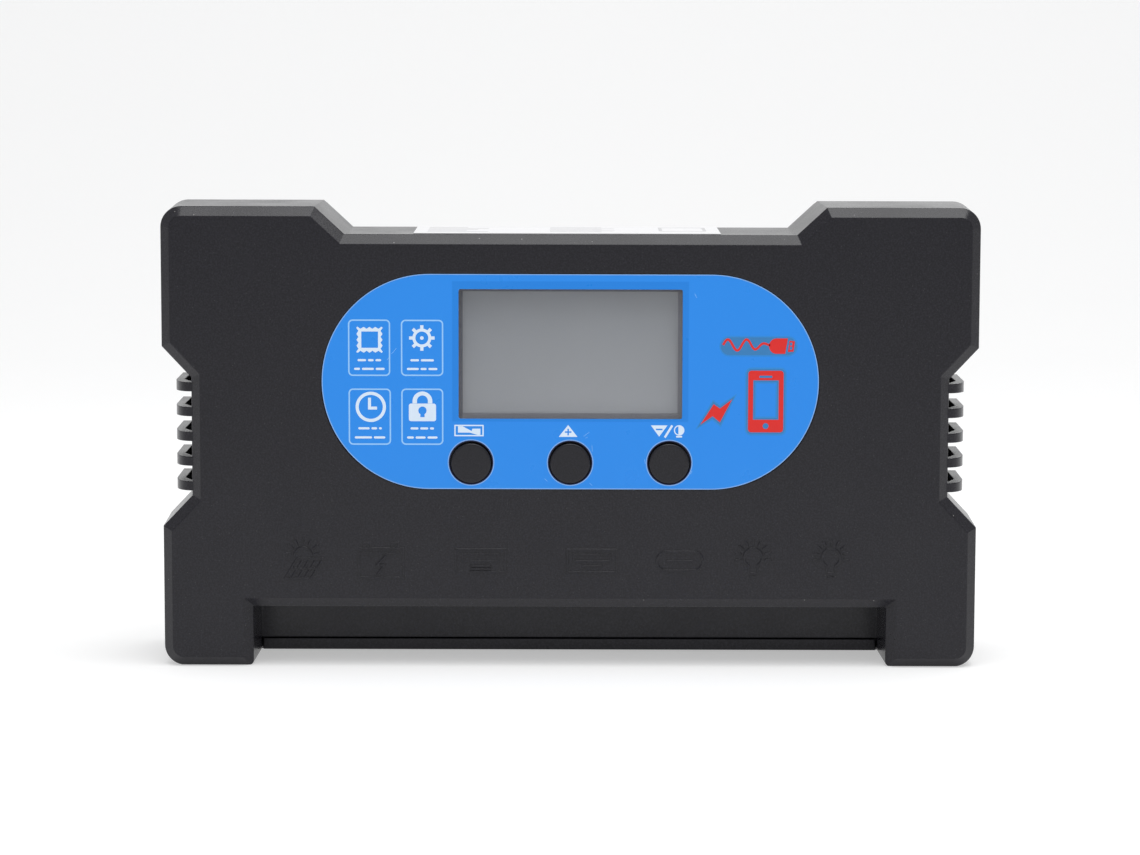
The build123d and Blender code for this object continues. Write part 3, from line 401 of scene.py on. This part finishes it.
def slot_finishes():
    """Material of each slot that CAD nodes use."""
    return {
        "abs_black": moulded("abs_black", (0.0086, 0.0081, 0.0114), 0.24, dust=0.6, radius=0.00032),
        "label_paper": label_paper(),
        "screw_zinc": metal("screw_zinc", (0.62, 0.61, 0.57), 0.34, (1, 0.2, 1)),
        "screw_black": metal("screw_black", (0.05, 0.05, 0.055), 0.42, (1, 0.2, 1)),
        "board_green": circuit_board(),
        "lcd_frame": display_frame(),
        "lcd_film": display_film(),
        "lcd_glass": clear("lcd_glass", (0.93, 0.97, 0.96), 0.02),
        "zebra_rubber": layered("zebra_rubber", (0.75, 0.66, 0.64), (0.02, 0.02, 0.02), 30000.0, 0.6),
        "light_guide": moulded("light_guide", (0.83, 0.85, 0.88), 0.25, depth=3e-6),
        "button_black": moulded(
            "button_black", (0.0080, 0.0078, 0.0108), 0.27, 3200.0, 5e-6, dust=0.6, radius=0.0002
        ),
        "switch_black": moulded("switch_black", (0.02, 0.02, 0.02), 0.4),
        "chip_black": moulded("chip_black", (0.022, 0.022, 0.024), 0.5, grain=3500.0),
        "can_steel": metal("can_steel", (0.72, 0.71, 0.68), 0.25, (0.1, 1, 1)),
        "terminal_black": moulded("terminal_black", (0.017, 0.018, 0.019), 0.38, depth=6e-6),
        "cage_steel": metal("cage_steel", (0.60, 0.59, 0.54), 0.36, (1, 0.15, 1), stain=0.1),
        "contact_tin": metal("contact_tin", (0.74, 0.70, 0.60), 0.3, (1, 1, 0.15)),
        "socket_steel": metal("socket_steel", (0.78, 0.77, 0.75), 0.22, (1, 1, 0.1)),
        "tongue_plastic": moulded("tongue_plastic", (0.02, 0.024, 0.035), 0.35, depth=4e-6),
        "pad_silicone": moulded("pad_silicone", (0.33, 0.43, 0.52), 0.6, 1600.0, 14e-6),
        "sink_aluminium": metal("sink_aluminium", (0.70, 0.70, 0.72), 0.38, (1, 1, 0.04), 700.0),
        "spacer_brass": metal("spacer_brass", (0.72, 0.53, 0.25), 0.28, (1, 0.1, 1)),
        "capacitor_sleeve": moulded("capacitor_sleeve", (0.012, 0.02, 0.05), 0.24, depth=3e-6),
        "ferrite_grey": moulded("ferrite_grey", (0.09, 0.09, 0.10), 0.62, 1400.0, 20e-6),
        "shunt_wire": metal("shunt_wire", (0.70, 0.45, 0.30), 0.3, (1, 0.3, 1), stain=0.15),
        "fuse_green": moulded("fuse_green", (0.03, 0.30, 0.07), 0.22, depth=3e-6),
    }


def finish_nodes(finishes):
    """Gives each CAD node the material of its slot; the film has none, because it is replaced."""
    for name, node in frame["nodes"].items():
        material = finishes.get(SLOT_OF[name])
        if material:
            node.data.materials.clear()
            node.data.materials.append(material)


# ---- Panel -----------------------------------------------------------------------------------
def panel_film(film, edge, hole_shade, pane):
    """Printed film with painted highlights along its cut edges, rings of painted shade in its holes,
    and its clear window.
    """
    holes = [((low.x + high.x) / 2 / MM, BUTTON_HOLE_Z) for low, high in BUTTONS]
    loops = [stadium(-EDGE_HIGHLIGHT_WIDTH), rounded(*WINDOW, 0.5)]
    loops += [circle(x, z, BUTTON_HOLE_R + EDGE_HIGHLIGHT_WIDTH) for x, z in holes]
    mesh = flat_mesh("panel_film", [loops], FILM_FRONT, FILM_BACK)
    piece = add_piece("panel_film", mesh, film)
    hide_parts("display_overlay")
    # painted highlight: a lighter blue band along the film's outer edge and round each button hole
    width = EDGE_HIGHLIGHT_WIDTH - EDGE_GAP
    edges = [[stadium(0.0), stadium(-width)]]
    for x, z in holes:
        edges.append([circle(x, z, BUTTON_HOLE_R + width), circle(x, z, BUTTON_HOLE_R)])
    mesh = flat_mesh("panel_film_edges", edges, FILM_FRONT, FILM_BACK)
    add_piece("panel_film_edges", mesh, edge)
    # painted shade: a dark navy ring inside each button hole
    inner = BUTTON_HOLE_R - HOLE_SHADE_WIDTH
    hole_shade_rings = [[circle(x, z, BUTTON_HOLE_R - EDGE_GAP), circle(x, z, inner)] for x, z in holes]
    mesh = flat_mesh("panel_film_hole_shade", hole_shade_rings, FILM_FRONT + HOLE_SHADE_SETBACK, FILM_BACK)
    add_piece("panel_film_hole_shade", mesh, hole_shade)
    mesh = flat_mesh("panel_window", [[rounded(*grown(WINDOW, -0.005), 0.5)]], FILM_FRONT, FILM_BACK)
    sheet = add_piece("panel_window", mesh, pane)
    sheet.visible_shadow = False


def stamp_loop(x0, x1, z0, z1, bite):
    """Square with toothed sides, for the chip symbol."""
    half = ((0.045, 0), (0.16, 1), (0.28, 0.1), (0.39, 1))
    steps = half + ((0.5, 0.1),) + tuple((1 - along, deep) for along, deep in reversed(half))
    corners = ((x0, z0), (x1, z0), (x1, z1), (x0, z1))
    loop = []
    for (ax, az), (bx, bz) in zip(corners, corners[1:] + corners[:1]):
        run = hypot(bx - ax, bz - az)
        inward = ((az - bz) / run, (bx - ax) / run)
        for along, deep in steps:
            x = ax + (bx - ax) * along + inward[0] * bite * deep
            z = az + (bz - az) * along + inward[1] * bite * deep
            loop.append((x, z))
    return loop


def gear_loop(x, z, root, tip, width, teeth=8):
    """Toothed wheel outline."""
    loop = []
    for i in range(teeth):
        middle = 360 * i / teeth
        low = width / 2 / root * 180 / pi
        high = width / 2 / tip * 180 / pi
        loop += arc(x, z, tip, middle - high, middle + high, 1)
        loop += arc(x, z, root, middle + low, middle + 360 / teeth - low, 4)
    return loop


def padlock_shapes(x, base, width, height):
    """Body with a keyhole, and a shackle over it."""
    hole = (x, base + height * 0.6)
    body = rounded(x - width / 2, x + width / 2, base, base + height, 0.5)
    keyhole = arc(*hole, 0.95, -60, 240, 20) + [(x - 0.5, hole[1] - 1.5), (x + 0.5, hole[1] - 1.5)]
    bow = base + height + 0.5
    shackle = arc(x, bow, 2.28, 0, 180, 24) + [(x - 2.28, bow - 0.46), (x - 1.25, bow - 0.46)]
    shackle += arc(x, bow + 0.12, 1.25, 180, 0, 20)
    shackle += [(x + 1.25, bow - 0.46), (x + 2.28, bow - 0.46)]
    return [[body, keyhole], [shackle]]


def dashes(x0, x1, z, lengths, height=0.5, gap=0.42):
    """Row of plain dashes that fills a width, in place of a word."""
    total = sum(lengths)
    room = x1 - x0 - gap * (len(lengths) - 1)
    shapes, x = [], x0
    for length in lengths:
        end = x + room * length / total
        shapes.append([rounded(x, end, z - height / 2, z + height / 2, height * 0.49, 4)])
        x = end + gap
    return shapes


def status_symbols():
    """Four framed symbols on the left: chip, gear, clock and padlock."""
    boxes = (
        (-50.81, -41.46, 67.67, 80.33),
        (-38.70, -29.30, 67.69, 80.30),
        (-50.75, -41.33, 51.80, 64.47),
        (-38.65, -29.31, 51.81, 64.49),
    )
    frames = [
        [rounded(*grown(box, 0.16), 1.05), rounded(*grown(box, -0.17), 0.75)] for box in boxes
    ]
    chip = [
        stamp_loop(-49.08, -43.01, 72.81, 78.85, 0.5),
        rounded(-47.92, -44.09, 73.98, 77.73, 0.05),
    ]
    gear, clock = (-34.05, 76.27), (-45.81, 60.40)
    hands = [
        (-46.45, 59.78), (-44.37, 59.78), (-44.37, 60.46),
        (-45.75, 60.46), (-45.75, 62.52), (-46.45, 62.52),
    ]
    art = [chip, [gear_loop(*gear, 2.16, 2.95, 0.74), circle(*gear, 1.48)], [circle(*gear, 0.42, 24)]]
    art += [[circle(*clock, 3.49), circle(*clock, 2.76)], [hands]]
    art += padlock_shapes(-33.95, 57.12, 6.25, 4.07)
    captions = (
        (-46.1, 71.15, 69.15, (3, 2, 2), (2, 4, 3)),
        (-34.0, 71.15, 69.15, (2, 3), (4, 2, 3)),
        (-46.0, 55.45, 53.35, (4, 2, 1), (3, 2)),
        (-34.0, 55.45, 53.35, (2, 2, 1), (2, 3, 3)),
    )
    for x, upper, lower, first, second in captions:
        art += dashes(x - 2.7, x + 2.7, upper, first)
        art += dashes(x - 3.5, x + 3.5, lower, second)
    return frames, art


def button_symbols():
    """Symbols over the three buttons: display page, up, and down with a lamp."""
    page = (-26.63, -19.88, 53.67, 56.31)
    page_marks = [
        (-25.79, 55.98), (-24.76, 55.98), (-22.67, 54.89), (-22.47, 55.43), (-20.64, 55.43),
        (-20.64, 54.0), (-21.33, 54.0), (-23.12, 54.51), (-25.79, 54.51),
    ]
    near, far = 0.17, 0.76
    cross = [
        (near, far), (near, near), (far, near), (far, -near), (near, -near), (near, -far),
        (-near, -far), (-near, -near), (-far, -near), (-far, near), (-near, near), (-near, far),
    ]
    plus = [(-0.47 + x, 54.7 + z) for x, z in cross]
    up = [(-2.63, 53.58), (1.68, 53.58), (-0.47, 56.34)]
    down = [(18.54, 56.29), (22.36, 56.29), (20.45, 53.68)]
    lamp = (25.04, 55.15)
    return [
        [rounded(*page, 0.08), rounded(*grown(page, -0.3), 0.05)],
        [page_marks],
        [up, plus],
        [down, bar(19.69, 55.35, 21.22, 55.35, 0.34)],
        [bar(23.45, 56.29, 21.75, 53.49, 0.5)],
        [circle(*lamp, 1.2, 40), arc(*lamp, 0.95, 100, 260, 16)],
        [rounded(24.35, 25.73, 53.5, 53.88, 0.1)],
    ]


def wavy_lead(x0, x1, z, height, width, waves, count=60):
    """Outline of a lead that waves less and less towards its plug."""
    loop = []
    for side in (1, -1):
        for i in range(count + 1):
            t = i / count if side > 0 else 1 - i / count
            turn = t * waves * 2 * pi
            tilt = atan2(2.0 * cos(turn) * (1 - t), 1.0)
            x = x0 + (x1 - x0) * t
            level = z + height * sin(turn) * min(1.0, 2.6 * (1 - t))
            loop.append((x - side * width / 2 * sin(tilt), level + side * width / 2 * cos(tilt)))
    return loop


def charge_symbols():
    """Red symbols on the right, a plug on its lead, a flash and a phone, and their dark halos."""
    plug = arc(47.3, 74.6, 1.78, 95, 262, 16) + [(49.25, 72.85), (49.85, 76.38)]
    tip = [(49.85, 73.25), (51.15, 73.35), (51.45, 75.75), (50.2, 75.85)]
    contacts = [rounded(50.28, 50.85, z, z + 0.72, 0.1) for z in (73.78, 74.72)]
    lead = wavy_lead(35.0, 45.75, 74.85, 1.25, 0.54, 2.5)
    flash = [
        (37.17, 62.33), (34.39, 57.03), (32.71, 58.44),
        (29.90, 56.49), (32.95, 61.22), (34.37, 60.21),
    ]
    phone = (40.85, 48.94, 54.75, 68.95)
    screen = (41.97, 47.85, 57.66, 66.75)
    slot = (43.37, 46.36, 67.29, 67.81)
    home = circle(44.9, 56.2, 0.68, 32)
    red = [[plug], [tip] + contacts, [lead], [flash]]
    red += [[rounded(*phone, 0.75), rounded(*screen, 0.1), rounded(*slot, 0.2), home]]
    lead_box = (34.9, 51.4, 72.95, 76.2)
    halos = []
    for wide in (0.75, 0.42):
        halos.append([
            [rounded(*grown(phone, wide), 0.75 + wide), rounded(*grown(screen, -wide), 0.1)],
            [outset(flash, wide)],
            [rounded(*grown(lead_box, wide), 1.6 + wide)],
        ])
    return red, halos


def scratches():
    """Short scratches around the middle button and by the frames."""
    marks = (
        (3.1, 53.7, 4.4, 54.7), (3.5, 53.3, 4.0, 53.5), (5.1, 50.2, 5.0, 51.6), (4.5, 42.9, 5.1, 42.3),
        (-5.9, 43.9, -5.2, 43.3), (-41.0, 72.6, -39.9, 73.9), (-42.0, 71.2, -41.5, 71.9),
        (27.7, 45.0, 28.1, 45.8), (17.1, 48.4, 17.3, 47.4), (28.9, 85.6, 28.4, 86.6),
    )
    return [[bar(*mark, 0.07)] for mark in marks]


def panel_artwork(white, line, red, halos):
    """All printed symbols, as ink on the film."""
    frames, art = status_symbols()
    red_art, halo_art = charge_symbols()
    layers = (
        ("ink_halo_soft", halo_art[0], halos[0], 0.01),
        ("ink_halo", halo_art[1], halos[1], 0.02),
        ("ink_frames", frames, line, 0.02),
        ("ink_white", art + button_symbols(), white, 0.02),
        ("ink_red", red_art, red, 0.03),
        ("panel_scratches", scratches(), line, 0.004),
    )
    for name, shapes, finish, rise in layers:
        mesh = flat_mesh(name, shapes, FILM_FRONT - rise, FILM_FRONT + INK_ROOT)
        add_piece(name, mesh, finish)


# ---- Label -----------------------------------------------------------------------------------
def label_artwork(ink):
    """Plain grey bars and a box on the label, in place of its text and code."""
    low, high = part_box("rating_label")
    paper = 0.12 * MM
    lean = atan2(high.z - low.z - paper, high.y - low.y)
    top = Matrix.Translation((low + high) / 2) @ Matrix.Rotation(lean, 4, "X")
    top @= Matrix.Translation((0, 0, paper / 2))
    half_x, half_y = (high.x - low.x) / 2 / MM, (high.y - low.y) / 2 / MM
    shapes = []
    for row in range(5):
        y = half_y - 3.2 - row * 2.9
        bars = ((-half_x + 3.0, 9.0 + 2.5 * ((row * 2) % 3)), (-4.0, 12.0 + 3.0 * (row % 2)))
        for start, length in bars:
            shapes.append([rounded(start, start + length, y - 0.5, y + 0.5, 0.1, 3)])
    shapes.append([
        rounded(half_x - 14.0, half_x - 3.0, half_y - 13.0, half_y - 2.5, 0.4),
        rounded(half_x - 13.2, half_x - 3.8, half_y - 12.2, half_y - 3.3, 0.3),
    ])
    mesh = flat_mesh("label_print", shapes, -0.02, 0.015)
    mesh.transform(top @ Matrix.Rotation(-pi / 2, 4, "X"))
    add_piece("label_print", mesh, ink)


# ---- Stage, lights and camera ----------------------------------------------------------------
def add_stage():
    """Pale floor that curves up into a backdrop."""
    sweep = bmesh.new()
    profile = [(FLOOR_FRONT, 0.0)] + arc(FLOOR_BACK, SWEEP_R, SWEEP_R, -90, 0, 9)
    profile.append((FLOOR_BACK + SWEEP_R, BACKDROP_TOP))
    rows = [[sweep.verts.new((x, y, z)) for x in (-FLOOR_HALF, FLOOR_HALF)] for y, z in profile]
    for near, far in zip(rows, rows[1:]):
        sweep.faces.new((near[0], near[1], far[1], far[0]))
    mesh = bpy.data.meshes.new("floor")
    sweep.to_mesh(mesh)
    sweep.free()
    mesh.shade_smooth()
    floor = bpy.data.objects.new("floor", mesh)
    bpy.context.scene.collection.objects.link(floor)
    paper = Finish("studio_paper", (0.6, 0.6, 0.6), 0.9, Emission_Strength=PAPER_GLOW)
    paper.shader.inputs["Emission Color"].default_value = (1, 1, 1, 1)
    paper.bump(paper.noise(400), 1e-5)
    mesh.materials.append(paper.material)


def add_softbox(name, place, target, size, radiance):
    """Rectangular lamp with a given brightness of its face."""
    data = bpy.data.lights.new(name, "AREA")
    data.shape = "RECTANGLE"
    data.size, data.size_y = size
    data.energy = radiance * pi * size[0] * size[1]
    lamp = bpy.data.objects.new(name, data)
    bpy.context.scene.collection.objects.link(lamp)
    lamp.location = place
    lamp.rotation_euler = (Vector(target) - Vector(place)).to_track_quat("-Z", "Y").to_euler()


def add_lights():
    """Even surroundings, and one large softbox over the object."""
    world = bpy.data.worlds.new("studio")
    world.use_nodes = True
    sockets = world.node_tree.nodes["Background"].inputs
    sockets["Color"].default_value = (0.98, 0.99, 1.0, 1)
    sockets["Strength"].default_value = ROOM_LIGHT
    bpy.context.scene.world = world
    add_softbox("overhead", SOFTBOX_PLACE, (0, 0, 0.05), SOFTBOX_SIZE, SOFTBOX_RADIANCE)


def add_camera():
    """Camera in front of the panel, looking slightly down."""
    data = bpy.data.cameras.new("camera")
    data.sensor_width = SENSOR
    data.lens = LENS
    camera = bpy.data.objects.new("camera", data)
    turn = Matrix.Rotation(YAW, 4, "Z") @ Matrix.Rotation(pi / 2 - PITCH, 4, "X")
    turn @= Matrix.Rotation(ROLL, 4, "Z")
    camera.matrix_world = Matrix.Translation(AIM) @ turn @ Matrix.Translation((0, 0, DISTANCE))
    bpy.context.scene.collection.objects.link(camera)
    bpy.context.scene.camera = camera


add_camera()
add_lights()
add_stage()
bpy.context.scene.view_settings.view_transform = "Standard"

finish_nodes(slot_finishes())
# painted highlight along the film's cut edges
edge_highlight_finish = printed("film_edge_highlight", (0.24, 0.47, 0.90), 0.3, 0.2)
# painted shade in the gap round each button cap
hole_shade_finish = printed("film_hole_shade", (0.006, 0.012, 0.075), 0.4)
panel_film(film_blue(), edge_highlight_finish, hole_shade_finish, clear("window_clear", (1.0, 1.0, 1.0), 0.03))
panel_artwork(
    printed("ink_white", (0.74, 0.86, 1.0)),
    printed("ink_pale_blue", (0.32, 0.62, 1.0)),
    printed("ink_red", (0.76, 0.022, 0.018)),
    [printed("ink_slate_soft", (0.026, 0.262, 0.72)), printed("ink_slate", (0.038, 0.215, 0.50))],
)
label_artwork(printed("label_ink", (0.55, 0.55, 0.56), 0.5))
